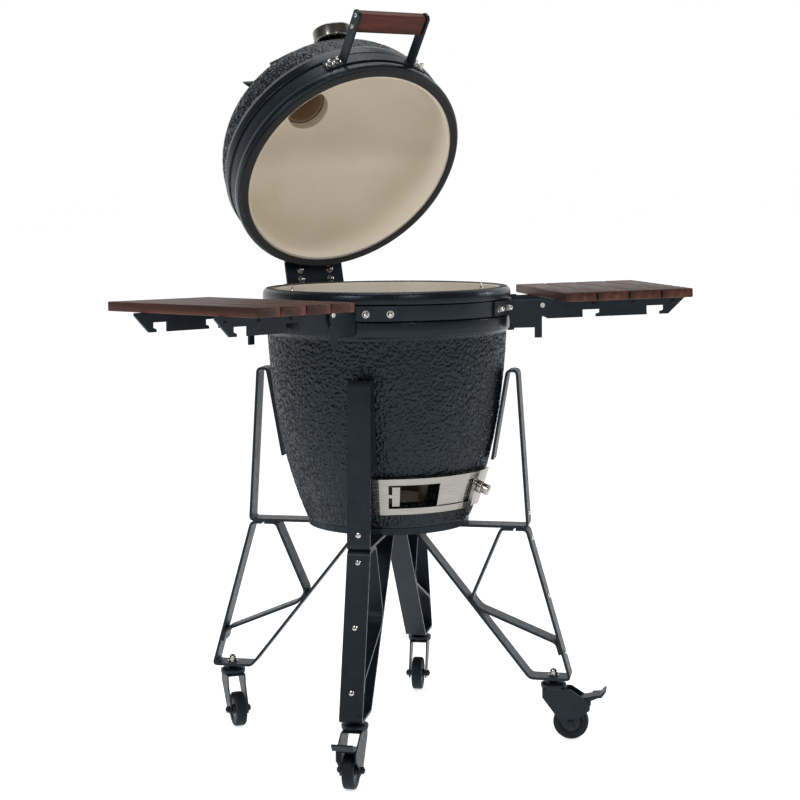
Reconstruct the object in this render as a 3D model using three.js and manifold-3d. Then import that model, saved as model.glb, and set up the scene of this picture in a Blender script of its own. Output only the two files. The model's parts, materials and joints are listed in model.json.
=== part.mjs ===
// Kamado ceramic grill: a ceramic bowl and hinged ceramic dome on a four-legged wheeled stand,
// with a sliding draft door, a cast vent and two side shelves that fold down.
// Millimetres, +Z up. The bowl's axis is the Z axis, the floor is Z = 0, and the draft door and
// the lid's handle face -Y. Azimuths are in degrees about Z: 0 is the front, 90 is +X.
// The lid stands open against its stop and the shelves are raised.
// Everything is drawn about the bowl's axis, then moved so that the origin is under the middle of
// the open grill.
import * as THREE from "three";
import { mergeVertices } from "three/addons/utils/BufferGeometryUtils.js";
import Module from "manifold-3d";

const wasm = await Module();
wasm.setup();

const DEG = Math.PI / 180;
const GAP = 0.3;
const ROUND = 40;

const ORIGIN_Y = 40;

// Bowl
const RIM_RADIUS = 280;
const RIM_Z = 1030;
const MOUTH_RADIUS = 252;
const FOOT_RADIUS = 186;
const FOOT_Z = 508;
const FLOOR_Z = 540;
const COLLAR_RADIUS = 278;
const BAND_RECESS_RADIUS = 272;
const BAND_OUTER_RADIUS = 276.5;
const BRACKET_OUTER_RADIUS = 281.4;
const BAND_HEIGHT = 32;
const BASE_BAND_Z = 970;

// Dome, measured up from its own rim when it is closed
const GASKET_THICKNESS = 4;
const DOME_Z = RIM_Z + GASKET_THICKNESS + 0.7;
const DOME_RADIUS = 277;
const DOME_HEIGHT = 278;
const DOME_SPRING_LINE = 62;
const DOME_EXPONENT = 2.25;
const DOME_WALL = 27;
const CHIMNEY_RADIUS = 52;
const LID_BAND_Z = 26;
const LID_OPEN = 54;

// Hinge
const HINGE_Y = 330;
const HINGE_Z = 1010;
const PIN_RADIUS = 6;
const BARREL_RADIUS = 12;
const HINGE_HALF_WIDTH = 77.5;

// Draft door, laid on the bowl's sloping front
const DOOR_BOTTOM_Z = 548;
const DOOR_TOP_Z = 630;
const DOOR_HALF_ANGLE = 39.5;
const DOOR_RAIL = 12;
const DOOR_LEFT_PLATE = -31;
const DOOR_RIGHT_PLATE = 22.5;
const DRAFT_HOLE = { left: -24.5, right: -2.5, low: 563, high: 615 };
const DRAFT_STOP = { left: -29, right: -24.8 };

// Stand
const STAND_YAW = 2.5;
const LEG_AZIMUTHS = { front_left: -45, front_right: 45, rear_right: 135, rear_left: -135 };
const BAR_WIDTH = 50;
const BAR_THICKNESS = 6;
const TIE_Z = 490;
const CASTER_BAR_Z = 142;
const CASTER_RADIUS = 379.5;

// Casters
const WHEEL_RADIUS = 40;
const CASTER_TRAIL = 40;
const CASTER_TOP_Z = CASTER_BAR_Z - BAR_THICKNESS / 2 - GAP;
const CASTER_HEADINGS = { front_left: -43, front_right: 49, rear_right: -39, rear_left: -11 };
const BRAKED = ["front_left", "front_right"];

// Side shelves
const SHELF_AZIMUTH = 70;
const SHELF_RISE = 1;
const SHELF_INNER = 359;
const SHELF_DEPTH = 294;
const SHELF_LENGTH = 416;
const SHELF_TOP_Z = 1018;
const BOARD_THICKNESS = 20;
const BOARD_COUNT = 4;
const BOARD_GAP = 3;
const ARM_OFFSET = 113;
const PLATE = 5;
const SHELF_PIVOT = { out: 330, z: 988 };

const material = (color, roughness, metalness) => () =>
  new THREE.MeshStandardMaterial({ color, roughness, metalness });
const darkGlaze = material(0x2d343a, 0.45, 0);
const rawCeramic = material(0x9c8f7c, 0.85, 0);
const blackSteel = material(0x39424a, 0.5, 0.6);
const castIron = material(0x2a2d30, 0.7, 0.5);
const stainless = material(0xaaa8a3, 0.3, 1);
const felt = material(0x33302c, 1, 0);
const darkWood = material(0x4f342c, 0.6, 0);
const wheelRubber = material(0x171b1f, 0.7, 0);

function toSolid(geometry) {
  geometry.deleteAttribute("normal");
  geometry.deleteAttribute("uv");
  const merged = mergeVertices(geometry, 1e-4);
  const vertProperties = merged.attributes.position.array;
  const triVerts = new Uint32Array(merged.index.array);
  return new wasm.Manifold(new wasm.Mesh({ numProp: 3, vertProperties, triVerts }));
}

function toGeometry(solid) {
  const { vertProperties, triVerts } = solid.getMesh();
  const geometry = new THREE.BufferGeometry();
  geometry.setAttribute("position", new THREE.BufferAttribute(vertProperties, 3));
  geometry.setIndex(new THREE.BufferAttribute(triVerts, 1));
  geometry.computeVertexNormals();
  return geometry;
}

function part(name, shape, makeMaterial) {
  const geometry = shape instanceof THREE.BufferGeometry ? shape : toGeometry(shape);
  const mesh = new THREE.Mesh(geometry, makeMaterial());
  mesh.name = name;
  return mesh;
}

function union(solids) {
  return solids.reduce((whole, solid) => whole.add(solid));
}

// Turns a (radius, z) outline about Z. The outline runs up its outer side; one that is clear of
// the axis is closed into a ring.
function revolve(outline, segments = ROUND) {
  const points = outline.map(([r, z]) => new THREE.Vector2(r, z));
  if (outline[0][0] > 0) points.push(points[0].clone());
  return new THREE.LatheGeometry(points, segments).rotateX(Math.PI / 2);
}

function ring(inner, outer, low, high, segments = ROUND) {
  return revolve([[inner, low], [outer, low], [outer, high], [inner, high]], segments);
}

function disc(radius, low, high, segments = ROUND) {
  return revolve([[0, low], [radius, low], [radius, high], [0, high]], segments);
}

// A rod along X, centred on the given point.
function rodX(radius, x0, x1, y, z, segments = 20) {
  return disc(radius, x0, x1, segments).rotateY(Math.PI / 2).translate(0, y, z);
}

function extrude(points, depth) {
  const shape = new THREE.Shape(points.map(([x, y]) => new THREE.Vector2(x, y)));
  return new THREE.ExtrudeGeometry(shape, { depth, bevelEnabled: false });
}

// A plate whose (x, z) outline is centred on Y = centre.
function plateXZ(outline, thickness, centre = 0) {
  return extrude(outline, thickness).translate(0, 0, -thickness / 2).rotateX(Math.PI / 2).translate(0, centre, 0);
}

// A plate whose (y, z) outline spans x0 to x1.
function plateYZ(outline, x0, x1) {
  return extrude(outline, x1 - x0).rotateX(Math.PI / 2).rotateZ(Math.PI / 2).translate(x0, 0, 0);
}

function box(x0, x1, y0, y1, z0, z1) {
  const geometry = new THREE.BoxGeometry(x1 - x0, y1 - y0, z1 - z0);
  return geometry.translate((x0 + x1) / 2, (y0 + y1) / 2, (z0 + z1) / 2);
}

// A pie-shaped block about the Z axis, from one azimuth to another.
function wedge(from, to, low, high, reach = 450) {
  const corner = (azimuth) => [reach * Math.sin(azimuth * DEG), -reach * Math.cos(azimuth * DEG)];
  return extrude([[0, 0], corner(from), corner((from + to) / 2), corner(to)], high - low).translate(0, 0, low);
}

// The part of a revolved outline that lies between two azimuths.
function sector(outline, from, to, segments = 80) {
  const heights = outline.map(([, z]) => z);
  const low = Math.min(...heights) - 1;
  const high = Math.max(...heights) + 1;
  return toSolid(revolve(outline, segments)).intersect(toSolid(wedge(from, to, low, high)));
}

// Replaces each inner corner of a polyline with an arc that leaves it `radius` before the corner.
function roundCorners(points, radius, steps = 4) {
  const path = [points[0]];
  for (let i = 1; i < points.length - 1; i += 1) {
    const corner = new THREE.Vector2(...points[i]);
    const before = new THREE.Vector2(...points[i - 1]).sub(corner).setLength(radius).add(corner);
    const after = new THREE.Vector2(...points[i + 1]).sub(corner).setLength(radius).add(corner);
    const bend = new THREE.QuadraticBezierCurve(before, corner, after);
    bend.getPoints(steps).forEach((p) => path.push([p.x, p.y]));
  }
  path.push(points[points.length - 1]);
  return path;
}

// The outline of a flat bar bent along a polyline.
function barOutline(points, thickness, bendRadius) {
  const path = roundCorners(points, bendRadius).map(([x, y]) => new THREE.Vector2(x, y));
  const normals = path.slice(1).map((p, i) => {
    const along = p.clone().sub(path[i]).normalize();
    return new THREE.Vector2(-along.y, along.x);
  });
  const side = (sign) => path.map((p, i) => {
    const first = normals[Math.max(i - 1, 0)];
    const second = normals[Math.min(i, normals.length - 1)];
    const mitre = first.clone().add(second).normalize();
    const offset = (sign * thickness) / 2 / mitre.dot(first);
    return [p.x + mitre.x * offset, p.y + mitre.y * offset];
  });
  return [...side(1), ...side(-1).reverse()];
}

// The bowl's outer side, from the foot to the collar.
const bowlSide = new THREE.QuadraticBezierCurve(
  new THREE.Vector2(188, 512),
  new THREE.Vector2(261, 686),
  new THREE.Vector2(271, 932),
);
const bowlInside = new THREE.QuadraticBezierCurve(
  new THREE.Vector2(162, 548),
  new THREE.Vector2(235, 700),
  new THREE.Vector2(245, 930),
);
const curvePoints = (curve, steps) => curve.getPoints(steps).map((p) => [p.x, p.y]);

function ceramicBowl() {
  const outside = [
    [0, FOOT_Z], [FOOT_RADIUS, FOOT_Z], ...curvePoints(bowlSide, 6),
    [COLLAR_RADIUS - 1, 938], [COLLAR_RADIUS, 966], [BAND_RECESS_RADIUS, 967], [BAND_RECESS_RADIUS, 1004],
    [RIM_RADIUS - 1, 1006], [RIM_RADIUS, 1015], [RIM_RADIUS - 3, 1026], [RIM_RADIUS - 8, RIM_Z],
  ];
  const inside = [
    [MOUTH_RADIUS + 3, RIM_Z], [MOUTH_RADIUS, RIM_Z - 3], [MOUTH_RADIUS, 990],
    ...curvePoints(bowlInside, 5).reverse(), [152, FLOOR_Z], [0, FLOOR_Z],
  ];
  const { left, right, low, high } = DRAFT_HOLE;
  const hole = sector([[130, low], [250, low], [250, high], [130, high]], left, right);
  return toSolid(revolve([...outside, ...inside])).subtract(hole);
}

function firebox() {
  const shell = revolve([[150, 541], [226, 800], [204, 800], [166, 646], [142, 646], [128, 541]]);
  const ashDoor = sector([[100, 530], [250, 530], [250, 622], [100, 622]], DRAFT_HOLE.left - 2, DRAFT_HOLE.right + 2);
  return toSolid(shell).subtract(ashDoor);
}

function fireRing() {
  return revolve([[208, 800.3], [226, 800.3], [237, 930], [239, 958], [221, 958]]);
}

// A round grating: a disc with parallel slots that stop short of its rim.
function grating(radius, rim, low, thickness, slot, pitch) {
  const shape = new THREE.Shape();
  shape.absarc(0, 0, radius, 0, 2 * Math.PI);
  const reach = radius - rim;
  const count = Math.floor((reach - slot / 2) / pitch);
  for (let i = -count; i <= count; i += 1) {
    const centre = i * pitch;
    const half = Math.sqrt(reach ** 2 - (Math.abs(centre) + slot / 2) ** 2);
    const hole = new THREE.Path();
    hole.moveTo(centre - slot / 2, -half);
    hole.lineTo(centre + slot / 2, -half);
    hole.lineTo(centre + slot / 2, half);
    hole.lineTo(centre - slot / 2, half);
    shape.holes.push(hole);
  }
  const options = { depth: thickness, bevelEnabled: false, curveSegments: 32 };
  return new THREE.ExtrudeGeometry(shape, options).translate(0, 0, low);
}

const COOKING_GRATE = { radius: 238, z: 958.3, thickness: 6, loopRadius: 214, loopTop: 1034, loopHalf: 16 };

// A wire loop that stands on the cooking grate, to lift it by.
function gratingLoop(side) {
  const { z, loopRadius, loopTop, loopHalf } = COOKING_GRATE;
  const foot = z + 3;
  const shoulder = loopTop - loopHalf;
  const x = side * loopRadius;
  const path = new THREE.CurvePath();
  const at = (y, height) => new THREE.Vector3(x, y, height);
  path.add(new THREE.LineCurve3(at(-loopHalf, foot), at(-loopHalf, shoulder)));
  path.add(new THREE.CubicBezierCurve3(
    at(-loopHalf, shoulder), at(-loopHalf, loopTop), at(loopHalf, loopTop), at(loopHalf, shoulder),
  ));
  path.add(new THREE.LineCurve3(at(loopHalf, shoulder), at(loopHalf, foot)));
  const wire = new THREE.Shape();
  wire.absarc(0, 0, 2.5, 0, 2 * Math.PI);
  return new THREE.ExtrudeGeometry(wire, { steps: 10, extrudePath: path, curveSegments: 3 });
}

function cookingGrate() {
  const { radius, z, thickness } = COOKING_GRATE;
  const plate = toSolid(grating(radius, 8, z, thickness, 20, 27));
  const crossBar = toSolid(box(-radius + 4, radius - 4, -3, 3, z, z + thickness));
  const pads = [-1, 1].map((side) => toSolid(
    box(side * 214 - 5, side * 214 + 5, -21, 21, z, z + thickness),
  ));
  return union([plate, crossBar, ...pads, ...[-1, 1].map((side) => toSolid(gratingLoop(side)))]);
}

// Draft door. A point on it is given by its distance up the bowl's slope and its height off it.
const doorSlope = (() => {
  const low = new THREE.Vector2(202.2, DOOR_BOTTOM_Z);
  const high = new THREE.Vector2(228, DOOR_TOP_Z);
  const along = high.clone().sub(low);
  const length = along.length();
  along.normalize();
  const out = new THREE.Vector2(along.y, -along.x);
  return { start: low.addScaledVector(out, 1.8), along, out, length };
})();

function doorPoint(up, off) {
  const { start, along, out } = doorSlope;
  return [start.x + along.x * up + out.x * off, start.y + along.y * up + out.y * off];
}

function doorPiece(low, high, back, front, from, to) {
  const outline = [doorPoint(low, back), doorPoint(low, front), doorPoint(high, front), doorPoint(high, back)];
  return sector(outline, from, to);
}

function draftDoorFrame() {
  const top = doorSlope.length;
  const lip = 3;
  return union([
    doorPiece(0, DOOR_RAIL, 0, 11, -DOOR_HALF_ANGLE, DOOR_HALF_ANGLE),
    doorPiece(top - DOOR_RAIL, top, 0, 11, -DOOR_HALF_ANGLE, DOOR_HALF_ANGLE),
    doorPiece(DOOR_RAIL - 1, DOOR_RAIL + lip, 9, 11, -DOOR_HALF_ANGLE, DOOR_HALF_ANGLE),
    doorPiece(top - DOOR_RAIL - lip, top - DOOR_RAIL + 1, 9, 11, -DOOR_HALF_ANGLE, DOOR_HALF_ANGLE),
    doorPiece(0, top, 0, 12, -DOOR_HALF_ANGLE, DOOR_LEFT_PLATE),
    doorPiece(0, top, 0, 11, DOOR_RIGHT_PLATE, DOOR_HALF_ANGLE),
    doorPiece(20, 66, 1, 9.5, DRAFT_STOP.left, DRAFT_STOP.right),
    doorPiece(40, 48, 7, 9.5, DOOR_LEFT_PLATE - 1, DRAFT_STOP.left + 1),
  ]);
}

function draftSlider() {
  const low = DOOR_RAIL + 0.5;
  const high = doorSlope.length - DOOR_RAIL - 0.5;
  const sheet = doorPiece(low, high, 6.4, 8.2, -2.5, 19.5);
  return sheet.add(doorPiece(low + 4, high - 4, 6.4, 12, -2.5, -2));
}

// The ember screen: a border with a lattice of upright and level wires, parked behind the slider.
function draftScreen() {
  const low = DOOR_RAIL + 0.5;
  const high = doorSlope.length - DOOR_RAIL - 0.5;
  const [left, right] = [-0.3, 21.9];
  const [columns, rows] = [5, 4];
  const wire = 0.5;
  const width = (right - left) / columns;
  const height = (high - low) / rows;
  const holes = [];
  for (let i = 0; i < columns; i += 1) {
    for (let j = 0; j < rows; j += 1) {
      const from = left + i * width + wire;
      const bottom = low + j * height + 2;
      holes.push(doorPiece(bottom, bottom + height - 4, 2, 6, from, from + width - 2 * wire));
    }
  }
  return doorPiece(low, high, 3.4, 4.8, left, right).subtract(union(holes));
}

const KNOB = { azimuth: 31, up: 46 };

// A stepped knob on the door's right plate, turned about a line square to the plate.
function draftKnob() {
  const [radius, z] = doorPoint(KNOB.up, 11 + GAP);
  const knob = revolve([[0, 0], [13.5, 0], [13.5, 9], [9, 10], [12, 11], [12, 26], [0, 26]], 24);
  const tilt = Math.atan2(-doorSlope.out.y, doorSlope.out.x);
  knob.rotateX(Math.PI / 2 + tilt).translate(0, -radius, z);
  return knob.rotateZ(KNOB.azimuth * DEG);
}

function bowlAssembly() {
  const group = new THREE.Group();
  const grate = part("cooking_grate", cookingGrate(), stainless);
  grate.rotation.z = -31 * DEG;
  group.add(
    part("ceramic_bowl", ceramicBowl(), darkGlaze),
    part("base_band", ring(BAND_RECESS_RADIUS + GAP, BAND_OUTER_RADIUS, BASE_BAND_Z, BASE_BAND_Z + BAND_HEIGHT), blackSteel),
    part("firebox", firebox(), rawCeramic),
    part("fire_ring", fireRing(), rawCeramic),
    part("charcoal_grate", grating(163, 12, 646.3, 10, 12, 24), castIron),
    grate,
    part("draft_door_frame", draftDoorFrame(), stainless),
    part("draft_slider", draftSlider(), stainless),
    part("draft_screen", draftScreen(), stainless),
    part("draft_lock_knob", draftKnob(), stainless),
  );
  return group;
}

// Height of the dome's outside above its rim, at a radius.
function domeHeight(radius, outerRadius = DOME_RADIUS, height = DOME_HEIGHT) {
  const across = (radius / outerRadius) ** DOME_EXPONENT;
  return DOME_SPRING_LINE + (height - DOME_SPRING_LINE) * (1 - across) ** (1 / DOME_EXPONENT);
}

// Points of the dome's side from the spring line to the chimney, evenly spread round the curve.
function domeSide(radius, height, chimney, steps) {
  const last = Math.acos((chimney / radius) ** (DOME_EXPONENT / 2));
  return Array.from({ length: steps + 1 }, (_, i) => {
    const r = radius * Math.cos((last * i) / steps) ** (2 / DOME_EXPONENT);
    return [r, domeHeight(r, radius, height)];
  });
}

const PROBE = { radius: 195, hole: 6 };
PROBE.z = domeHeight(PROBE.radius);
PROBE.tilt = Math.atan2(
  (PROBE.z - DOME_SPRING_LINE) ** (DOME_EXPONENT - 1) / (DOME_HEIGHT - DOME_SPRING_LINE) ** DOME_EXPONENT,
  PROBE.radius ** (DOME_EXPONENT - 1) / DOME_RADIUS ** DOME_EXPONENT,
);

// Places a piece built along +Z so that it stands square on the dome where the probe goes in.
function onProbeAxis(geometry) {
  return geometry.rotateX(Math.PI / 2 - PROBE.tilt).translate(0, -PROBE.radius, PROBE.z);
}

function ceramicDome() {
  const outside = [
    [RIM_RADIUS - 8, 0], [RIM_RADIUS, 3], [RIM_RADIUS + 1, 12], [RIM_RADIUS - 1, 22],
    [BAND_RECESS_RADIUS, 24], [BAND_RECESS_RADIUS, 60], [RIM_RADIUS, 61], [RIM_RADIUS, 84],
    ...domeSide(DOME_RADIUS, DOME_HEIGHT, CHIMNEY_RADIUS, 9).filter(([, z]) => z > 90),
  ];
  const insideRadius = DOME_RADIUS - DOME_WALL;
  const inside = domeSide(insideRadius, DOME_HEIGHT - DOME_WALL, CHIMNEY_RADIUS, 7).reverse();
  const shell = revolve([...outside, ...inside, [insideRadius, 3], [insideRadius + 3, 0]]);
  const probeHole = onProbeAxis(disc(PROBE.hole, -60, 20, 16));
  return toSolid(shell).subtract(toSolid(probeHole));
}

function thermometer() {
  const outline = [
    [0, -75], [4, -75], [4, 3.5], [18, 3.5], [18, 8], [44, 9], [46, 13], [46, 38], [43, 42], [0, 42],
  ];
  return onProbeAxis(revolve(outline, 32));
}

const VENT = { neck: 56, deck: 330, deckRadius: 80, capRadius: 88, windows: 3 };

// Three windows through the vent's deck or cap. The cap's lie between the deck's when it is shut.
function ventWindows(low, high, turn) {
  const window = [[22, low], [48, low], [48, high], [22, high]];
  const spread = 360 / VENT.windows;
  return union(Array.from({ length: VENT.windows }, (_, i) => {
    const middle = i * spread + turn;
    return sector(window, middle - 26, middle + 26, ROUND);
  }));
}

function ventBase() {
  const { neck, deck, deckRadius } = VENT;
  const seat = [54, 65, 76, 86].map((r) => [r, domeHeight(r) + 0.6]);
  const outline = [
    [neck - 10, domeHeight(neck - 10) + 0.6], ...seat, [86, domeHeight(86) + 7],
    [neck + 4, domeHeight(neck) + 9], [neck, deck], [deckRadius, deck], [deckRadius, deck + 7], [neck - 10, deck + 7],
  ];
  const body = toSolid(revolve(outline));
  const deckPlate = toSolid(disc(neck - 5, deck, deck + 7)).subtract(ventWindows(deck - 5, deck + 12, 0));
  const pivot = toSolid(disc(5, deck, deck + 30, 16));
  return union([body, deckPlate.subtract(toSolid(disc(4, deck - 1, deck + 8, 16))), pivot]);
}

// The turning cap: a thick disc with two square ears and a pointed lever, on the vent's pivot.
function ventCap() {
  const low = VENT.deck + 7 + GAP;
  const high = low + 34;
  const { capRadius } = VENT;
  const plate = toSolid(revolve([
    [0, low], [capRadius - 3, low], [capRadius, low + 4], [capRadius, low + 18],
    [capRadius - 6, low + 24], [26, low + 26], [20, high], [0, high],
  ]));
  const ears = toSolid(box(-capRadius - 12, capRadius + 12, -31, 31, low + 2, low + 16).rotateZ(57 * DEG));
  const lever = extrude([[70, -16], [112, -12], [140, 0], [112, 6], [70, 10]], 9);
  lever.translate(0, 0, low + 4).rotateZ((-84 - 90) * DEG);
  const bore = toSolid(disc(5 + GAP, low - 1, VENT.deck + 30 + GAP, 16));
  return union([plate, ears, toSolid(lever)]).subtract(bore).subtract(ventWindows(low - 5, low + 40, 180 / VENT.windows));
}

const HANDLE = { armX: 88, armThickness: 6, outer: 392, low: 29, high: 57 };

// A curved strap on the lid's band with two arms that carry the grip.
function handleBracket() {
  const { armX, armThickness, outer, low, high } = HANDLE;
  const strap = sector(
    [[BAND_OUTER_RADIUS + 0.4, low], [BRACKET_OUTER_RADIUS, low], [BRACKET_OUTER_RADIUS, high], [BAND_OUTER_RADIUS + 0.4, high]],
    -27, 27,
  );
  const outline = [[-255, low], [-outer + 6, low], [-outer, low + 7], [-outer, high - 7], [-outer + 6, high], [-255, high]];
  const arms = [-1, 1].map((side) => {
    const x = side * armX;
    return toSolid(plateYZ(outline, x - armThickness / 2, x + armThickness / 2));
  });
  const band = toSolid(disc(BAND_OUTER_RADIUS + 0.4, low - 5, high + 5, 96));
  return union([strap, ...arms.map((arm) => arm.subtract(band))]);
}

function handleGrip() {
  const { armX, armThickness, outer } = HANDLE;
  const half = armX - armThickness / 2 - GAP;
  const [near, far] = [-outer + 3, -outer + 49];
  const [low, high] = [32, 56];
  const round = 4;
  const outline = [
    [near + round, low], [far - round, low], [far, low + round], [far, high - round],
    [far - round, high], [near + round, high], [near, high - round], [near, low + round],
  ];
  return plateYZ(outline, -half, half);
}

// The hinge plate on the lid, in the closed lid's place: a strap on the band, a bent plate and a
// barrel round the pin.
function hingeLidPlate() {
  const [inner, outer] = [BAND_OUTER_RADIUS + 0.4, BRACKET_OUTER_RADIUS];
  const [low, high] = [DOME_Z + LID_BAND_Z, DOME_Z + LID_BAND_Z + BAND_HEIGHT];
  const strap = sector([[inner, low], [outer, low], [outer, high], [inner, high]], 164, 196);
  const bend = low + 4;
  const web = barOutline([[255, bend], [284, bend], [HINGE_Y - 2, HINGE_Z + 3]], PLATE, 8);
  const plate = toSolid(plateYZ(web, -HINGE_HALF_WIDTH, HINGE_HALF_WIDTH)).subtract(toSolid(disc(inner, low - 20, high, 96)));
  const barrel = toSolid(rodX(BARREL_RADIUS, -HINGE_HALF_WIDTH, HINGE_HALF_WIDTH, HINGE_Y, HINGE_Z));
  const bore = toSolid(rodX(PIN_RADIUS + GAP, -100, 100, HINGE_Y, HINGE_Z));
  return union([strap, plate, barrel]).subtract(bore);
}

// The hinge plate on the bowl: a strap on the band, a level plate and two ears that hold the pin.
function hingeBasePlate() {
  const [inner, outer] = [BAND_OUTER_RADIUS + 0.4, BRACKET_OUTER_RADIUS];
  const top = BASE_BAND_Z + BAND_HEIGHT;
  const strap = sector([[inner, BASE_BAND_Z], [outer, BASE_BAND_Z], [outer, top], [inner, top]], 161, 199);
  const earInner = HINGE_HALF_WIDTH + 0.5;
  const level = toSolid(box(-earInner - PLATE, earInner + PLATE, 250, 312, 984, 989)).subtract(toSolid(disc(inner, 960, 1000, 96)));
  const ear = [[298, 984], [330, 990], [347, 1002], [347, 1018], [338, 1026], [322, 1026], [298, 1000]];
  const ears = [-1, 1].map((side) => {
    const [x0, x1] = side < 0 ? [-earInner - PLATE, -earInner] : [earInner, earInner + PLATE];
    return toSolid(plateYZ(ear, x0, x1));
  });
  const bore = toSolid(rodX(PIN_RADIUS + GAP, -120, 120, HINGE_Y, HINGE_Z));
  return union([strap, level, ...ears]).subtract(bore);
}

function hingePin() {
  const reach = 108;
  const outline = [
    [0, -reach - 5], [10, -reach - 5], [10, -reach], [PIN_RADIUS, -reach],
    [PIN_RADIUS, reach], [10, reach], [10, reach + 5], [0, reach + 5],
  ];
  return revolve(outline, 20).rotateY(Math.PI / 2).translate(0, HINGE_Y, HINGE_Z);
}

function hingeSpring(side) {
  const [near, far] = [HINGE_HALF_WIDTH + PLATE + 1, 107];
  const coil = ring(PIN_RADIUS + 0.6, 13, near, far, 20);
  return coil.rotateY((side * Math.PI) / 2).translate(0, HINGE_Y, HINGE_Z);
}

function lidAssembly() {
  const closed = new THREE.Group();
  const onRim = new THREE.Group();
  onRim.position.z = DOME_Z;
  const gasket = ring(MOUTH_RADIUS + 4, RIM_RADIUS - 6, -GASKET_THICKNESS - GAP, -GAP);
  onRim.add(
    part("ceramic_dome", ceramicDome(), darkGlaze),
    part("lid_gasket", gasket, felt),
    part("lid_band", ring(BAND_RECESS_RADIUS + GAP, BAND_OUTER_RADIUS, LID_BAND_Z, LID_BAND_Z + BAND_HEIGHT), blackSteel),
    part("vent_base", ventBase(), castIron),
    part("vent_cap", ventCap(), castIron),
    part("thermometer", thermometer(), stainless),
    part("handle_bracket", handleBracket(), blackSteel),
    part("handle_grip", handleGrip(), darkWood),
  );
  closed.add(onRim, part("hinge_lid_plate", hingeLidPlate(), blackSteel));
  closed.position.set(0, -HINGE_Y, -HINGE_Z);
  const pivot = new THREE.Group();
  pivot.position.set(0, HINGE_Y, HINGE_Z);
  pivot.rotation.x = -LID_OPEN * DEG;
  pivot.add(closed);
  return pivot;
}

function hingeAssembly() {
  const group = new THREE.Group();
  group.add(
    part("hinge_base_plate", hingeBasePlate(), blackSteel),
    part("hinge_pin", hingePin(), stainless),
    part("hinge_spring_left", hingeSpring(-1), blackSteel),
    part("hinge_spring_right", hingeSpring(1), blackSteel),
  );
  return group;
}

// Leg pieces are flat bars bent in the leg's own upright plane; x is the distance from the axis.
const UNDER_TIE = TIE_Z - BAR_THICKNESS - GAP;
const FRAME_CORNER = { top: [321, UNDER_TIE], outer: [419, CASTER_BAR_Z], inner: [328, CASTER_BAR_Z], centre: [58, UNDER_TIE] };

function legBar(points) {
  return plateXZ(barOutline(points, BAR_THICKNESS, 9), BAR_WIDTH);
}

function legHoop() {
  return legBar([[243, 642], [277, 843], [299, 843], [323, TIE_Z], [45, TIE_Z]]);
}

function legFrame() {
  const { top, outer, inner, centre } = FRAME_CORNER;
  return legBar([[296, UNDER_TIE], top, outer, inner, centre, [40, UNDER_TIE]]);
}

// The brace hangs from the tie, lies along the frame's diagonal and ends on its outer bar.
function legBrace() {
  const { top, outer, inner, centre } = FRAME_CORNER;
  const clearance = BAR_THICKNESS + GAP;
  const along = (from, to, fraction, side) => {
    const a = new THREE.Vector2(...from);
    const direction = new THREE.Vector2(...to).sub(a);
    const normal = new THREE.Vector2(direction.y, -direction.x).setLength(side * clearance);
    const point = a.addScaledVector(direction, fraction).add(normal);
    return [point.x, point.y];
  };
  return legBar([
    [290, UNDER_TIE], [262, UNDER_TIE],
    along(inner, centre, 0.515, 1), along(inner, centre, 0.445, 1),
    along(top, outer, 0.75, 1), along(top, outer, 0.83, 1),
  ]);
}

// A caster stands with its swivel on Z and its wheel behind it along +X.
function casterFork(braked) {
  const housing = toSolid(revolve([
    [0, 116], [27, 116], [29, 121], [29, 127], [22, 131], [10, 132], [10, CASTER_TOP_Z], [0, CASTER_TOP_Z],
  ], 24));
  const short = [[-24, 118], [-24, 98], [27, 30], [53, 30], [55, 46], [34, 92], [30, 118]];
  const long = [[-24, 118], [-24, 98], [27, 30], [53, 30], [58, 50], [84, 72], [84, 90], [40, 118]];
  const outline = braked ? long : short;
  const cheeks = [-1, 1].map((side) => toSolid(plateXZ(outline, 3, side * 20.5)));
  const bridge = toSolid(box(-24, 30, -22, 22, 115, 118));
  const axle = toSolid(disc(4, -30, 30, 12).rotateX(Math.PI / 2).translate(CASTER_TRAIL, 0, WHEEL_RADIUS));
  const nuts = [-1, 1].map((side) => toSolid(
    disc(8, 21.5, 28, 6).rotateX((-side * Math.PI) / 2).translate(CASTER_TRAIL, 0, WHEEL_RADIUS),
  ));
  return union([housing, ...cheeks, bridge, axle, ...nuts]);
}

function casterWheel() {
  const outline = [
    [4.4, -17], [11, -17], [12, -12], [35, -13.5], [WHEEL_RADIUS, -9],
    [WHEEL_RADIUS, 9], [35, 13.5], [12, 12], [11, 17], [4.4, 17],
  ];
  return revolve(outline, 24).rotateX(Math.PI / 2).translate(CASTER_TRAIL, 0, WHEEL_RADIUS);
}

function casterBrake() {
  const neck = toSolid(plateXZ([[50, 88], [66, 84], [100, 99], [98, 106], [60, 98]], 36));
  const pedal = toSolid(plateXZ([[88, 100], [110, 102], [120, 116], [116, 118], [107, 108], [88, 106]], 46));
  return neck.add(pedal);
}

function leg(corner, azimuth) {
  const group = new THREE.Group();
  group.rotation.z = (azimuth + STAND_YAW - 90) * DEG;
  group.add(
    part(`leg_hoop_${corner}`, legHoop(), blackSteel),
    part(`leg_frame_${corner}`, legFrame(), blackSteel),
    part(`leg_brace_${corner}`, legBrace(), blackSteel),
  );
  return group;
}

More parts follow.
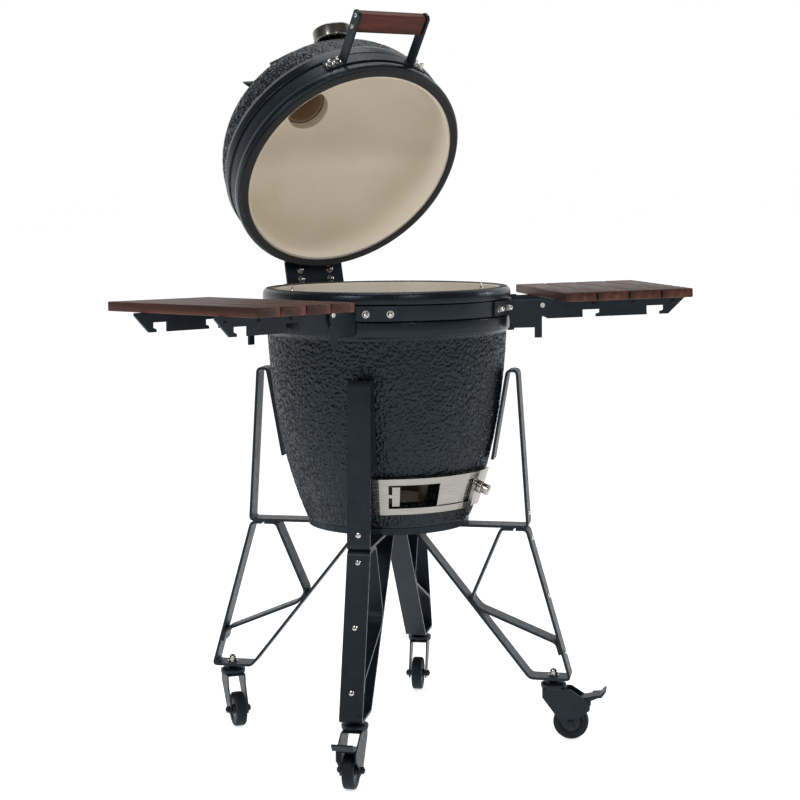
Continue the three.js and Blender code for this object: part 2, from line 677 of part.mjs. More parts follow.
function caster(corner, azimuth) {
  const group = new THREE.Group();
  const direction = (azimuth + STAND_YAW) * DEG;
  group.position.set(CASTER_RADIUS * Math.sin(direction), -CASTER_RADIUS * Math.cos(direction), 0);
  group.rotation.z = (CASTER_HEADINGS[corner] - 90) * DEG;
  const braked = BRAKED.includes(corner);
  group.add(
    part(`caster_fork_${corner}`, casterFork(braked), blackSteel),
    part(`caster_wheel_${corner}`, casterWheel(), wheelRubber),
  );
  if (braked) group.add(part(`caster_brake_${corner}`, casterBrake(), blackSteel));
  return group;
}

function stand() {
  const group = new THREE.Group();
  const low = TIE_Z + BAR_THICKNESS / 2 + GAP;
  group.add(part("stand_ring", ring(110, 184, low, FOOT_Z - GAP), blackSteel));
  Object.entries(LEG_AZIMUTHS).forEach(([corner, azimuth]) => group.add(leg(corner, azimuth), caster(corner, azimuth)));
  return group;
}

// Shelf pieces are built facing +X; y runs along the boards.
function shelfBoard(index) {
  const width = (SHELF_DEPTH - (BOARD_COUNT - 1) * BOARD_GAP) / BOARD_COUNT;
  const near = SHELF_INNER + index * (width + BOARD_GAP);
  const far = near + width;
  const low = SHELF_TOP_Z - BOARD_THICKNESS;
  const chamfer = 2;
  const outline = [
    [near, low], [far, low], [far, SHELF_TOP_Z - chamfer], [far - chamfer, SHELF_TOP_Z],
    [near + chamfer, SHELF_TOP_Z], [near, SHELF_TOP_Z - chamfer],
  ];
  return plateXZ(outline, SHELF_LENGTH);
}

// A bracket arm with two hooked notches in its lower edge.
function shelfArm(side) {
  const top = SHELF_TOP_Z - BOARD_THICKNESS - GAP;
  const low = top - 41;
  const notch = (near) => {
    const far = near + 40;
    return [[near, low], [near, low + 20], [far, low + 20], [far, low + 9], [far - 9, low + 6], [far - 9, low]];
  };
  const outline = [
    [318, 998], [318, 970], [345, low], ...notch(426), ...notch(577), [628, low], [667, top - 6], [667, top], [345, top],
  ];
  const hole = disc(4 + GAP, -10, 10, 16).rotateX(Math.PI / 2).translate(SHELF_PIVOT.out, side * ARM_OFFSET, SHELF_PIVOT.z);
  return toSolid(plateXZ(outline, PLATE, side * ARM_OFFSET)).subtract(toSolid(hole));
}

// The mount on the bowl's band: a curved strap and two lugs, each with a pivot pin and a hook.
function shelfMount() {
  const [inner, outer] = [BAND_OUTER_RADIUS + 0.4, BRACKET_OUTER_RADIUS];
  const top = BASE_BAND_Z + BAND_HEIGHT;
  const strap = sector([[inner, BASE_BAND_Z], [outer, BASE_BAND_Z], [outer, top], [inner, top]], 46, 134);
  const lugOutline = [
    [254, 972], [258, 938], [314, 938], [314, 915], [330, 915], [330, 960],
    [338, 978], [338, 996], [334, 1000], [254, 1000],
  ];
  const lugOffset = ARM_OFFSET + PLATE + 0.5;
  const perSide = [-1, 1].flatMap((side) => [
    toSolid(plateXZ(lugOutline, PLATE, side * lugOffset)),
    toSolid(disc(4, -8, 8, 16).rotateX(Math.PI / 2).translate(SHELF_PIVOT.out, side * (ARM_OFFSET + 3), SHELF_PIVOT.z)),
  ]);
  return union([strap, ...perSide]);
}

function shelf(name, azimuth) {
  const group = new THREE.Group();
  group.rotation.z = (azimuth - 90) * DEG;
  const raised = new THREE.Group();
  raised.position.set(SHELF_PIVOT.out, 0, SHELF_PIVOT.z);
  raised.rotation.y = -SHELF_RISE * DEG;
  const pieces = new THREE.Group();
  pieces.position.set(-SHELF_PIVOT.out, 0, -SHELF_PIVOT.z);
  for (let i = 0; i < BOARD_COUNT; i += 1) {
    pieces.add(part(`shelf_board_${name}_${i + 1}`, shelfBoard(i), darkWood));
  }
  const rearSide = azimuth > 0 ? 1 : -1;
  pieces.add(
    part(`shelf_arm_${name}_rear`, shelfArm(rearSide), blackSteel),
    part(`shelf_arm_${name}_front`, shelfArm(-rearSide), blackSteel),
  );
  raised.add(pieces);
  group.add(raised, part(`shelf_mount_${name}`, shelfMount(), blackSteel));
  return group;
}

const grill = new THREE.Group();
grill.position.y = -ORIGIN_Y;
grill.add(
  bowlAssembly(),
  lidAssembly(),
  hingeAssembly(),
  stand(),
  shelf("left", -SHELF_AZIMUTH),
  shelf("right", SHELF_AZIMUTH),
);

export default grill;
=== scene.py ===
import json
import math

import bmesh
import bpy
import numpy as np
from mathutils import Matrix, Vector, noise


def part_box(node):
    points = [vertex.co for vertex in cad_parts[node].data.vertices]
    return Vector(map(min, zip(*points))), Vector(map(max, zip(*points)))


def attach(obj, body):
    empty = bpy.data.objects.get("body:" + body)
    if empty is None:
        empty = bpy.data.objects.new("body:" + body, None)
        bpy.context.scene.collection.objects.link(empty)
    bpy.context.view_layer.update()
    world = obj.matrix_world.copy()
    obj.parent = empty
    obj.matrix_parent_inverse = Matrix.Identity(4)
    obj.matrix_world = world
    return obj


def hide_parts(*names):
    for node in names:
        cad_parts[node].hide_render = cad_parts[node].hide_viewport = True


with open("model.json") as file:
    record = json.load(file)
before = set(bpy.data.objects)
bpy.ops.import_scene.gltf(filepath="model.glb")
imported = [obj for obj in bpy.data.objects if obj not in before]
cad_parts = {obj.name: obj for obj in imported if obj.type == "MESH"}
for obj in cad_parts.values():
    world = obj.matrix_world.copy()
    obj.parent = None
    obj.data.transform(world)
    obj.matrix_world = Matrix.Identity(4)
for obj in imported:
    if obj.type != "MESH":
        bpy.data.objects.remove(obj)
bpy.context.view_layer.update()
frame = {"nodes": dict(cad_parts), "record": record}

# Lengths below are in millimetres, in the bowl's own frame: its axis is Z and the floor is 0.
# AXIS puts that frame into the row frame, in metres.
MM = 0.001
JOINTS = {joint["name"]: joint for joint in frame["record"]["behaviour"]["joints"]}


def centre(node):
    low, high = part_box(node)
    return (Vector(low) + Vector(high)) / 2


BOWL_CENTRE = centre("ceramic_bowl")
AXIS = Matrix.Translation((BOWL_CENTRE.x, BOWL_CENTRE.y, 0)) @ Matrix.Scale(MM, 4)
RIM_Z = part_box("ceramic_bowl")[1][2] / MM
DOME_Z = RIM_Z + 4.7

HINGE = Vector(JOINTS["lid_hinge"]["pos_m"])
OPEN = math.radians(-JOINTS["lid_hinge"]["range_deg"][0])
LID = (
    Matrix.Translation(HINGE)
    @ Matrix.Rotation(-OPEN, 4, "X")
    @ Matrix.Translation(-HINGE)
    @ AXIS
    @ Matrix.Translation((0, 0, DOME_Z))
)

LID_UP = (LID.to_3x3() @ Vector((0, 0, 1))).normalized()
BASE_BODY = "bowl_and_stand"
VIEW_AZIMUTH = math.radians(31)
RING = 192


def turn(azimuth, around=AXIS):
    """A round part's frame turned so that +X points to an azimuth (0 is the front, 90 is +X)."""
    return around @ Matrix.Rotation(math.radians(azimuth - 90), 4, "Z")


# ---------------------------------------------------------------- materials

def srgb(red, green, blue):
    def linear(value):
        value /= 255
        return value / 12.92 if value <= 0.04045 else ((value + 0.055) / 1.055) ** 2.4
    return linear(red), linear(green), linear(blue), 1.0


class Shader:
    """A Principled material with short ways to add textures to it."""

    def __init__(self, name, roughness=0.5, metallic=0.0, **inputs):
        self.material = bpy.data.materials.new(name)
        self.material.use_nodes = True
        self.tree = self.material.node_tree
        self.principled = self.tree.nodes["Principled BSDF"]
        self.principled.inputs["Roughness"].default_value = roughness
        self.principled.inputs["Metallic"].default_value = metallic
        for key, value in inputs.items():
            self.principled.inputs[key.replace("_", " ")].default_value = value

    def cool_sheen(self, level):
        """Reflects less than plain plastic does, and a little blue."""
        self.principled.inputs["Specular IOR Level"].default_value = level
        self.principled.inputs["Specular Tint"].default_value = (0.76, 0.9, 1.0, 1.0)

    def node(self, kind, **settings):
        made = self.tree.nodes.new(kind)
        for key, value in settings.items():
            setattr(made, key, value)
        return made

    def link(self, output, target):
        self.tree.links.new(output, target)

    def coordinates(self, scale=(1, 1, 1)):
        source = self.node("ShaderNodeTexCoord")
        mapping = self.node("ShaderNodeMapping")
        mapping.inputs["Scale"].default_value = scale
        self.link(source.outputs["Object"], mapping.inputs["Vector"])
        return mapping.outputs["Vector"]

    def noise(self, scale, detail=4.0, stretch=(1, 1, 1), distortion=0.0):
        texture = self.node("ShaderNodeTexNoise")
        texture.inputs["Scale"].default_value = scale
        texture.inputs["Detail"].default_value = detail
        texture.inputs["Distortion"].default_value = distortion
        self.link(self.coordinates(stretch), texture.inputs["Vector"])
        return texture.outputs["Fac"]

    def cells(self, scale, stretch=(1, 1, 1)):
        texture = self.node("ShaderNodeTexVoronoi")
        texture.inputs["Scale"].default_value = scale
        self.link(self.coordinates(stretch), texture.inputs["Vector"])
        return texture.outputs["Distance"]

    def ramp(self, factor, stops):
        ramp = self.node("ShaderNodeValToRGB")
        elements = ramp.color_ramp.elements
        while len(elements) < len(stops):
            elements.new(0.5)
        for element, (position, colour) in zip(elements, stops):
            element.position = position
            element.color = colour
        self.link(factor, ramp.inputs["Fac"])
        return ramp.outputs["Color"]

    def colour(self, factor, stops):
        self.link(self.ramp(factor, stops), self.principled.inputs["Base Color"])

    def roughness(self, factor, low, high):
        span = self.node("ShaderNodeMapRange")
        span.inputs["From Min"].default_value = 0.3
        span.inputs["From Max"].default_value = 0.7
        span.inputs["To Min"].default_value = low
        span.inputs["To Max"].default_value = high
        self.link(factor, span.inputs["Value"])
        self.link(span.outputs["Result"], self.principled.inputs["Roughness"])

    def bump(self, *layers):
        """Each layer is (height, strength, distance in metres)."""
        normal = None
        for height, strength, distance in layers:
            bump = self.node("ShaderNodeBump")
            bump.inputs["Strength"].default_value = strength
            bump.inputs["Distance"].default_value = distance
            self.link(height, bump.inputs["Height"])
            if normal:
                self.link(normal, bump.inputs["Normal"])
            normal = bump.outputs["Normal"]
        self.link(normal, self.principled.inputs["Normal"])


def dark_glaze(name, dent):
    """Dent is how strongly the glaze breaks up into small pressed cells."""
    shader = Shader(name)
    shader.cool_sheen(0.3)
    tone = shader.noise(9, 3)
    shader.colour(tone, [(0.3, srgb(10, 15, 20)), (0.7, srgb(16, 23, 29))])
    speckle = shader.noise(160, 4)
    shader.roughness(speckle, 0.2, 0.34)
    shader.bump((shader.cells(170), dent, 0.0014), (shader.noise(420, 3), 0.2, 0.0003))
    return shader.material


def pale_glaze():
    shader = Shader("pale_glaze")
    tone = shader.noise(5, 5)
    shader.colour(tone, [
        (0.3, srgb(226, 214, 194)), (0.55, srgb(234, 224, 207)), (0.8, srgb(239, 231, 217)),
    ])
    shader.roughness(shader.noise(60, 4), 0.45, 0.62)
    shader.bump((shader.noise(240, 4), 0.15, 0.0004))
    return shader.material


def raw_ceramic():
    shader = Shader("raw_ceramic", roughness=0.9)
    shader.colour(shader.noise(14, 6), [(0.3, srgb(132, 120, 102)), (0.7, srgb(168, 156, 136))])
    shader.bump((shader.noise(180, 6), 0.4, 0.0008))
    return shader.material


def coated_steel():
    shader = Shader("coated_steel")
    shader.cool_sheen(0.3)
    shader.colour(shader.noise(30, 4), [(0.3, srgb(16, 22, 28)), (0.7, srgb(23, 31, 38))])
    shader.roughness(shader.noise(90, 3), 0.36, 0.5)
    shader.bump((shader.noise(900, 2), 0.12, 0.0002))
    return shader.material


def cast_iron():
    shader = Shader("cast_iron", metallic=0.35)
    shader.colour(shader.noise(40, 5), [(0.3, srgb(28, 31, 34)), (0.7, srgb(46, 50, 53))])
    shader.roughness(shader.noise(120, 4), 0.5, 0.7)
    shader.bump((shader.noise(420, 5), 0.45, 0.0006))
    return shader.material


def vent_iron():
    """Cast iron, pale brown round the chimney's own line and darker iron further out."""
    shader = Shader("vent_iron", metallic=0.2)
    source = shader.node("ShaderNodeTexCoord")
    offset = shader.node("ShaderNodeVectorMath", operation="SUBTRACT")
    across = shader.node("ShaderNodeVectorMath", operation="CROSS_PRODUCT")
    distance = shader.node("ShaderNodeVectorMath", operation="LENGTH")
    shader.link(source.outputs["Object"], offset.inputs[0])
    offset.inputs[1].default_value = LID.translation
    shader.link(offset.outputs["Vector"], across.inputs[0])
    across.inputs[1].default_value = LID_UP
    shader.link(across.outputs["Vector"], distance.inputs[0])
    shader.colour(distance.outputs["Value"], [
        (0.0, srgb(176, 150, 118)), (0.047, srgb(166, 142, 112)),
        (0.05, srgb(24, 27, 30)), (0.3, srgb(30, 33, 36)),
    ])
    shader.roughness(shader.noise(120, 4), 0.5, 0.7)
    shader.bump((shader.noise(420, 5), 0.45, 0.0006))
    return shader.material


def brushed_steel(name="brushed_stainless", stretch=(6, 6, 260), tone=(164, 162, 156)):
    shader = Shader(name, metallic=1.0)
    grain = shader.noise(4, 6, stretch)
    red, green, blue = tone
    shader.colour(grain, [(0.3, srgb(red - 26, green - 26, blue - 26)), (0.7, srgb(red, green, blue))])
    shader.roughness(grain, 0.14, 0.28)
    shader.bump((grain, 0.08, 0.0002))
    return shader.material


def bright_steel():
    shader = Shader("bright_steel", metallic=1.0)
    wear = shader.noise(220, 3)
    shader.colour(wear, [(0.3, srgb(178, 176, 170)), (0.7, srgb(212, 210, 205))])
    shader.roughness(wear, 0.14, 0.3)
    return shader.material


def felt():
    shader = Shader("felt", roughness=1.0)
    shader.principled.inputs["Sheen Weight"].default_value = 0.1
    fibres = shader.noise(900, 4, (1, 1, 3), 0.6)
    shader.colour(fibres, [(0.3, srgb(18, 18, 18)), (0.7, srgb(34, 34, 33))])
    shader.bump((fibres, 0.7, 0.0008))
    return shader.material


def oiled_wood(name, stretch, dark=(24, 12, 8), light=(116, 64, 44)):
    shader = Shader(name)
    shader.principled.inputs["Specular IOR Level"].default_value = 0.25
    grain = shader.noise(1.0, 8, stretch, 0.9)
    pores = shader.noise(3.2, 6, stretch, 0.2)
    shader.colour(grain, [
        (0.28, srgb(*dark)), (0.5, srgb(*((a + b) // 2 for a, b in zip(dark, light)))), (0.72, srgb(*light)),
    ])
    shader.roughness(pores, 0.42, 0.62)
    shader.bump((pores, 0.35, 0.0006), (grain, 0.2, 0.0006))
    return shader.material


def wheel_rubber():
    shader = Shader("wheel_rubber")
    shader.cool_sheen(0.3)
    shader.colour(shader.noise(60, 4), [(0.3, srgb(12, 14, 16)), (0.7, srgb(20, 22, 25))])
    shader.roughness(shader.noise(150, 3), 0.5, 0.7)
    shader.bump((shader.noise(700, 3), 0.2, 0.0003))
    return shader.material


def moulded_plastic():
    shader = Shader("moulded_plastic")
    shader.cool_sheen(0.4)
    shader.colour(shader.noise(40, 2), [(0.3, srgb(16, 18, 21)), (0.7, srgb(24, 27, 30))])
    shader.roughness(shader.noise(300, 3), 0.38, 0.5)
    shader.bump((shader.noise(1200, 2), 0.15, 0.0001))
    return shader.material


def dial_white():
    shader = Shader("dial_face", roughness=0.5)
    shader.colour(shader.noise(20, 2), [(0.3, srgb(222, 220, 212)), (0.7, srgb(234, 232, 225))])
    return shader.material


def dial_ink():
    shader = Shader("dial_ink")
    shader.colour(shader.noise(50, 2), [(0.3, srgb(22, 22, 24)), (0.7, srgb(34, 33, 33))])
    shader.roughness(shader.noise(90, 2), 0.45, 0.55)
    return shader.material


def dial_glass():
    shader = Shader("dial_glass", roughness=0.03, Alpha=0.18, IOR=1.45)
    shader.colour(shader.noise(5, 1), [(0.3, srgb(235, 240, 240)), (0.7, srgb(245, 248, 248))])
    return shader.material


def pale_floor():
    shader = Shader("pale_floor")
    shader.colour(shader.noise(0.8, 2), [(0.3, (0.95, 0.95, 0.95, 1)), (0.7, (0.97, 0.97, 0.97, 1))])
    shader.roughness(shader.noise(30, 2), 0.7, 0.8)
    shader.principled.inputs["Emission Color"].default_value = (1, 1, 1, 1)
    shader.principled.inputs["Emission Strength"].default_value = 0.66
    return shader.material


GLAZE = dark_glaze("dark_glaze", 0.5)
SMOOTH_GLAZE = dark_glaze("smooth_dark_glaze", 0.08)
INSIDE = pale_glaze()
RAW = raw_ceramic()
COATED = coated_steel()
IRON = cast_iron()
VENT_IRON = vent_iron()
STAINLESS = brushed_steel()
DARK_STEEL = brushed_steel("thermometer_steel", (260, 260, 6), (136, 134, 128))
BRIGHT = bright_steel()
FELT = felt()
BOARD_WOOD = [
    oiled_wood("shelf_wood_a", (34, 2.2, 34)),
    oiled_wood("shelf_wood_b", (30, 1.9, 30), (20, 10, 7), (104, 56, 39)),
]
GRIP_WOOD = oiled_wood("grip_wood", (2.4, 40, 40), (22, 8, 6), (104, 50, 35))
RUBBER = wheel_rubber()
PLASTIC = moulded_plastic()
DIAL = dial_white()
INK = dial_ink()
GLASS = dial_glass()


# ---------------------------------------------------------------- shapes

def mesh_object(name, mesh, material, matrix, smooth_angle=None):
    materials = material if isinstance(material, (list, tuple)) else [material]
    for each in materials:
        mesh.materials.append(each)
    scale = matrix.median_scale
    mesh.transform(Matrix.Scale(scale, 4))
    obj = bpy.data.objects.new(name, mesh)
    bpy.context.scene.collection.objects.link(obj)
    obj.matrix_world = matrix @ Matrix.Scale(1 / scale, 4)
    if smooth_angle is not None:
        smooth(obj, smooth_angle)
    return obj


def smooth(obj, degrees):
    """Smooth shading, with edges sharper than the angle kept crisp."""
    mesh = obj.data
    mesh.shade_smooth()
    mesh.set_sharp_from_angle(angle=math.radians(degrees))


def square_up(obj):
    """Turns the mesh instead of the object, so that its box lies square to the row frame."""
    obj.data.transform(obj.matrix_world)
    obj.matrix_world = Matrix.Identity(4)
    return obj


def finish_piece(obj, body, slot, *nodes):
    if nodes:
        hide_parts(*nodes)
    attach(obj, body)
    return obj


def bevel(obj, width, segments=2, angle=30):
    modifier = obj.modifiers.new("bevel", "BEVEL")
    modifier.width = width
    modifier.segments = segments
    modifier.limit_method = "ANGLE"
    modifier.angle_limit = math.radians(angle)
    return obj


def grid_mesh(name, rings, closed, skip=()):
    """A mesh of rings of points, each joined to the next; closed joins the last to the first."""
    count = len(rings[0])
    points = [p for ring in rings for p in ring]
    faces = []
    last = len(rings) if closed else len(rings) - 1
    for i in range(last):
        lower, upper = i * count, ((i + 1) % len(rings)) * count
        for j in range(count):
            if (i, j) in skip:
                continue
            k = (j + 1) % count
            faces.append((lower + j, lower + k, upper + k, upper + j))
    mesh = bpy.data.meshes.new(name)
    mesh.from_pydata(points, [], faces)
    return mesh


def lathe(name, profile, material, matrix, segments=RING, angle=35):
    """A profile of (radius, z) turned about Z. It starts and ends on the axis, or is closed."""
    on_axis = profile[0][0] == 0
    angles = [2 * math.pi * j / segments for j in range(segments)]
    kept = profile[1:-1] if on_axis else profile
    rings = [[(r * math.cos(a), r * math.sin(a), z) for a in angles] for r, z in kept]
    mesh = grid_mesh(name, rings, not on_axis)
    made = bmesh.new()
    made.from_mesh(mesh)
    if on_axis:
        made.verts.ensure_lookup_table()
        first = [made.verts[j] for j in range(segments)]
        top = [made.verts[(len(rings) - 1) * segments + j] for j in range(segments)]
        for ring, z in ((first, profile[0][1]), (top, profile[-1][1])):
            tip = made.verts.new((0, 0, z))
            for j in range(segments):
                made.faces.new((ring[j], ring[(j + 1) % segments], tip))
    bmesh.ops.recalc_face_normals(made, faces=made.faces)
    made.to_mesh(mesh)
    made.free()
    return mesh_object(name, mesh, material, matrix, angle)


def fillet(profile, radius, steps=4, closed=True):
    """Rounds the corners of a profile with short curves."""
    count = len(profile)
    rounded = []
    for i, corner in enumerate(profile):
        if not closed and i in (0, count - 1):
            rounded.append(corner)
            continue
        here = Vector(corner)
        before, after = Vector(profile[i - 1]), Vector(profile[(i + 1) % count])
        reach = min(radius, (before - here).length * 0.45, (after - here).length * 0.45)
        start = here + (before - here).normalized() * reach
        end = here + (after - here).normalized() * reach
        for k in range(steps + 1):
            t = k / steps
            point = start * (1 - t) ** 2 + here * (2 * t * (1 - t)) + end * t ** 2
            rounded.append((point.x, point.y))
    return rounded


def dimple(point):
    """Depth in mm of the pressed dents in the glaze: short ridges with hollows between."""
    x, y, z = point
    wander = noise.noise_vector(Vector((x, y, z)) / 26)
    at = Vector((x / 7.2, y / 7.2, z / 9.4)) + wander * 0.8
    near, far = noise.voronoi(at)[0][:2]
    ridge = min((far - near) * 3.2, 1.0)
    return -2.4 * ridge + 0.5 * noise.noise(Vector((x, y, z)) / 3.1)


def press(rings, first, last, fade=2):
    """Moves the points of some rings along the radius, as deep as the dimples are."""
    for i in range(first, last + 1):
        amount = min(1.0, (i - first) / fade, (last - i) / fade)
        if amount <= 0:
            continue
        rings[i] = [
            tuple(Vector(p) + Vector((p[0], p[1], 0)).normalized() * dimple(p) * amount)
            for p in rings[i]
        ]


def rod(name, points, radius, material, matrix, closed=False, resolution=3):
    curve = bpy.data.curves.new(name, "CURVE")
    curve.dimensions = "3D"
    scale = matrix.median_scale
    curve.bevel_depth = radius * scale
    curve.bevel_resolution = resolution
    curve.use_fill_caps = True
    curve.materials.append(material)
    spline = curve.splines.new("POLY")
    spline.points.add(len(points) - 1)
    for point, place in zip(spline.points, points):
        point.co = (*(Vector(place) * scale), 1)
    spline.use_cyclic_u = closed
    spline.use_smooth = True
    obj = bpy.data.objects.new(name, curve)
    bpy.context.scene.collection.objects.link(obj)
    obj.matrix_world = matrix @ Matrix.Scale(1 / scale, 4)
    return obj


def rounded_box(name, size, radius, material, matrix, segments=4):
    made = bmesh.new()
    bmesh.ops.create_cube(made, size=1)
    bmesh.ops.scale(made, vec=size, verts=made.verts)
    bmesh.ops.bevel(
        made, geom=made.edges[:], offset=radius, segments=segments, profile=0.5, affect="EDGES",
    )
    mesh = bpy.data.meshes.new(name)
    made.to_mesh(mesh)
    made.free()
    return mesh_object(name, mesh, material, matrix, 40)


def join(name, objects):
    """Joins several mesh objects into the first and names it."""
    for obj in bpy.context.selected_objects:
        obj.select_set(False)
    for obj in objects:
        obj.select_set(True)
    bpy.context.view_layer.objects.active = objects[0]
    bpy.ops.object.join()
    objects[0].name = name
    return objects[0]


# ---------------------------------------------------------------- fasteners

def hexagon(name, across, height, matrix, material=BRIGHT):
    radius = across / math.sqrt(3)
    profile = [
        (0, 0), (radius - 0.5, 0), (radius, 0.6),
        (radius, height - 0.7), (radius - 0.9, height), (0, height),
    ]
    return lathe(name, profile, material, matrix, 6, 25)


def acorn_nut(name, matrix, body, across=11):
    """A washer, a hexagon and a domed cap, standing along the matrix's Z."""
    cap = across * 0.46
    dome = [(cap * math.cos(a), 9 + cap * math.sin(a)) for a in np.linspace(0, math.pi / 2 - 0.05, 6)]
    pieces = [
        lathe("washer", [(0, 0), (across * 0.72, 0), (across * 0.72, 1.4), (0, 1.4)], BRIGHT, matrix, 24),
        hexagon("hexagon", across, 5.5, matrix @ Matrix.Translation((0, 0, 1.4))),
        lathe("cap", [(0, 6), (cap, 6), *dome, (0, 9 + cap)], BRIGHT, matrix, 24),
    ]
    return finish_piece(join(name, pieces), body, "stainless")


def button_screw(name, matrix, body, radius=5.5, material=BRIGHT):
    """A low domed screw head with a hexagonal socket."""
    socket = radius * 0.42
    profile = [
        (0, 0), (radius, 0), (radius, 0.8), (radius * 0.86, radius * 0.42), (radius * 0.62, radius * 0.55),
        (socket, radius * 0.58), (socket * 0.95, radius * 0.2), (0, radius * 0.2),
    ]
    return finish_piece(lathe(name, profile, material, matrix, 24, 30), body, "stainless")


def facing_out(frame_matrix, radius, z, tangent=0.0):
    """A place on the frame's +X side, with its Z pointing outwards."""
    return frame_matrix @ Matrix.Translation((radius, tangent, z)) @ Matrix.Rotation(math.pi / 2, 4, "Y")


# ---------------------------------------------------------------- ceramics

def quadratic(start, middle, end, steps):
    points = []
    for k in range(steps + 1):
        t = k / steps
        points.append(tuple(
            a * (1 - t) ** 2 + 2 * b * t * (1 - t) + c * t ** 2 for a, b, c in zip(start, middle, end)
        ))
    return points


COLUMNS = 720
ANGLES = [math.radians(j * 360 / COLUMNS - 90) for j in range(COLUMNS)]
BOWL_SIDE = ((188, 512), (261, 686), (271, 932))
BOWL_INSIDE = ((162, 548), (235, 700), (245, 930))
HOLE = {"left": -24.5, "right": -2.5, "low": 563, "high": 615, "rows": 14}


def side_rows(curve, steps, hole_rows):
    """Profile points down a wall, with one row on each edge of the draft hole."""
    fine = np.array(quadratic(*curve, 400))

    def radius(z):
        return float(np.interp(z, fine[:, 1], fine[:, 0]))

    low, high = HOLE["low"], HOLE["high"]
    bottom, top = fine[0, 1], fine[-1, 1]
    below = np.linspace(bottom, low, max(2, round((low - bottom) / steps)))[:-1]
    middle = np.linspace(low, high, hole_rows + 1)
    above = np.linspace(high, top, round((top - high) / steps))[1:]
    return [(radius(z), float(z)) for z in (*below, *middle, *above)], len(below)


def turned_rings(profile):
    return [[(r * math.cos(a), r * math.sin(a), z) for a in ANGLES] for r, z in profile]


def bowl():
    side, hole_start = side_rows(BOWL_SIDE, 2.4, HOLE["rows"])
    inner, inner_hole = side_rows(BOWL_INSIDE, 14, HOLE["rows"])
    foot = [(30, 508), (180, 508), (185.5, 508.8), (187.3, 510.4)]
    collar = fillet([
        side[-1], (276.5, 936), (278, 950), (278, 966.5), (272, 967.5), (272, 1003.5), (279.6, 1005),
        (280, 1016), (278.5, 1024.5), (273, RIM_Z), (256, RIM_Z), (252.2, 1026.5), (252, 990), inner[-1],
    ], 2.2, 4, closed=False)[1:-1]
    floor = [(154, 541), (30, 540)]
    outer_count = len(foot)
    profile = [*foot, *side, *collar, *reversed(inner), *floor]
    rings = turned_rings(profile)
    press(rings, outer_count, outer_count + len(side) - 1)
    row = outer_count + hole_start
    inner_end = len(profile) - len(floor) - 1 - inner_hole
    left = round(HOLE["left"] * COLUMNS / 360) % COLUMNS
    wide = round((HOLE["right"] - HOLE["left"]) * COLUMNS / 360)
    skip = set()
    for i in range(HOLE["rows"]):
        for j in range(wide):
            skip.add((row + i, (left + j) % COLUMNS))
            skip.add((inner_end - HOLE["rows"] + i, (left + j) % COLUMNS))
    mesh = grid_mesh("bowl_glaze", rings, False, skip)
    made = bmesh.new()
    made.from_mesh(mesh)
    made.verts.ensure_lookup_table()

    def vertex(ring, column):
        return made.verts[ring * COLUMNS + column % COLUMNS]

    for ring_number, z in ((0, 508), (len(profile) - 1, 540)):
        tip = made.verts.new((0, 0, z))
        made.verts.ensure_lookup_table()
        for j in range(COLUMNS):
            made.faces.new((vertex(ring_number, j), vertex(ring_number, j + 1), tip))
    for j in range(wide):
        for outer_ring, inner_ring in ((row, inner_end), (row + HOLE["rows"], inner_end - HOLE["rows"])):
            made.faces.new((
                vertex(outer_ring, left + j), vertex(outer_ring, left + j + 1),
                vertex(inner_ring, left + j + 1), vertex(inner_ring, left + j),
            ))
    for i in range(HOLE["rows"]):
        for column in (left, left + wide):
            made.faces.new((
                vertex(row + i, column), vertex(row + i + 1, column),
                vertex(inner_end - i - 1, column), vertex(inner_end - i, column),
            ))
    bmesh.ops.recalc_face_normals(made, faces=made.faces)
    rim_ring = outer_count + len(side) + len(collar) - 10
    for face in made.faces:
        middle = face.calc_center_median()
        radius = math.hypot(middle.x, middle.y)
        past_rim = face.verts[0].index > rim_ring * COLUMNS
        inside = middle.z > 539 and (radius < 253 and middle.z > 945 or past_rim)
        ring = face.verts[0].index // COLUMNS
        dented = outer_count <= ring < outer_count + len(side)
        face.material_index = 1 if inside else (0 if dented else 2)
    made.to_mesh(mesh)
    made.free()
    obj = mesh_object("bowl_glaze", mesh, [GLAZE, INSIDE, SMOOTH_GLAZE], AXIS, 50)
    return finish_piece(obj, BASE_BODY, "glazed_ceramic", "ceramic_bowl")


DOME = {"radius": 277, "height": 278, "spring": 62, "power": 2.25, "wall": 27, "chimney": 52}


def dome_height(r, radius=DOME["radius"], height=DOME["height"]):
    across = (r / radius) ** DOME["power"]
    return DOME["spring"] + (height - DOME["spring"]) * (1 - across) ** (1 / DOME["power"])


def dome_side(radius, height, steps):
    last = math.acos((DOME["chimney"] / radius) ** (DOME["power"] / 2))
    radii = [radius * math.cos(last * i / steps) ** (2 / DOME["power"]) for i in range(steps + 1)]
    return [(r, dome_height(r, radius, height)) for r in radii]


